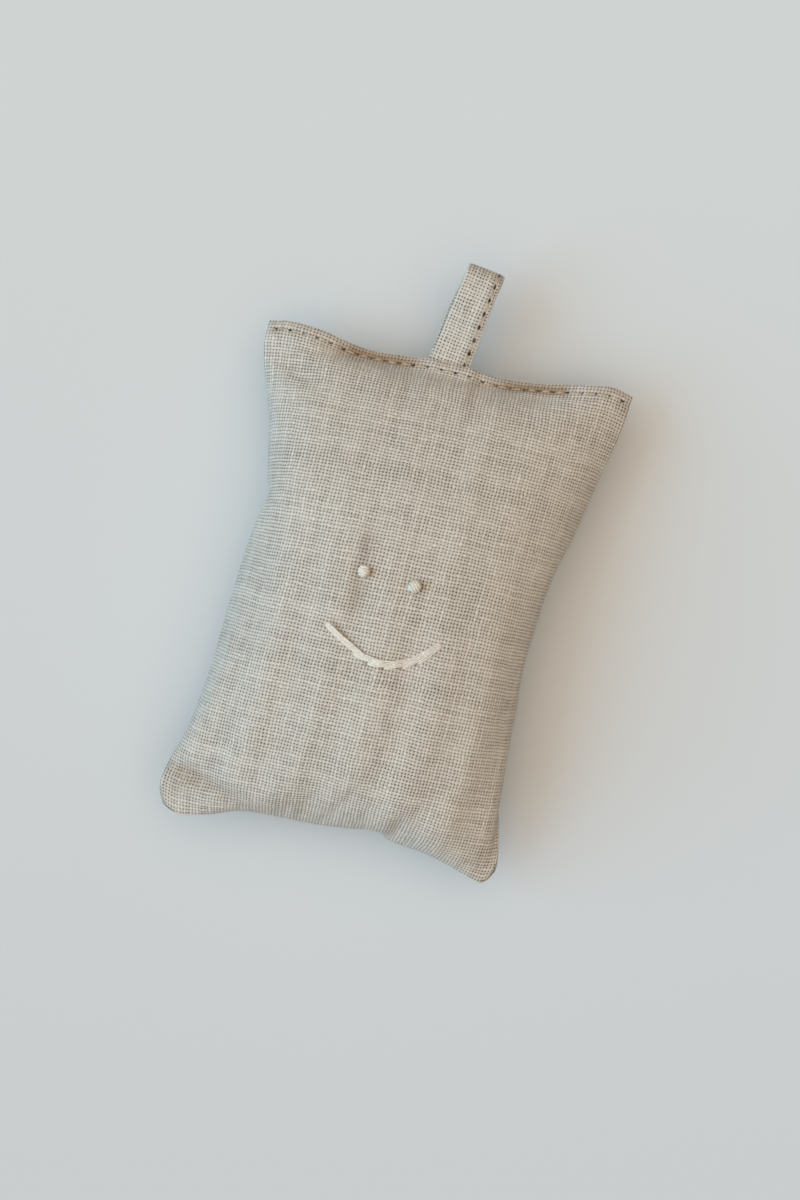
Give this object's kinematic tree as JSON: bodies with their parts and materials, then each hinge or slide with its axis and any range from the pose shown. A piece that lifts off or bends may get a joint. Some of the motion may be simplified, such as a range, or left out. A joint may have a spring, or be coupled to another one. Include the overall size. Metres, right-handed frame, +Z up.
{
  "type": "lavender sachet",
  "caption": "Small rectangular linen pouch filled with dried lavender buds, with an embroidered smile and a stitched tape loop for hanging.",
  "frame": {"origin": "centre of the flat patch of the back that the pouch rests on", "axes": "+Z up out of the front, +Y along the length towards the hanging loop, +X to the right of the face"},
  "size_m": [0.0895, 0.1451, 0.0381],
  "materials": {
    "linen": "natural undyed plain-weave linen, matte",
    "lavender": "dried buds, matte",
    "sewing_thread": "spun cotton thread, matte",
    "floss": "mercerised stranded cotton, soft sheen"
  },
  "bodies": {
    "pouch": {"front_panel": "linen", "back_panel": "linen", "lavender_filling": "lavender", "loop_tails": "linen", "top_seam_needle_thread": "sewing_thread", "top_seam_bobbin_thread": "sewing_thread", "left_seam_thread": "sewing_thread", "right_seam_thread": "sewing_thread", "bottom_seam_thread": "sewing_thread", "left_eye_knot": "floss", "right_eye_knot": "floss", "smile_stitches": "floss"},
    "loop": {"hanging_loop": "linen", "loop_edge_needle_thread": "sewing_thread", "loop_edge_bobbin_thread": "sewing_thread"}
  },
  "joints": [
    {"name": "loop_swing", "type": "hinge", "parent": "pouch", "child": "loop", "pos_m": [0.00147, 0.06013, 0.017], "axis": [1, 0, 0], "range_deg": [-90, 90], "stiffness_Nm_per_rad": 0.001}
  ]
}
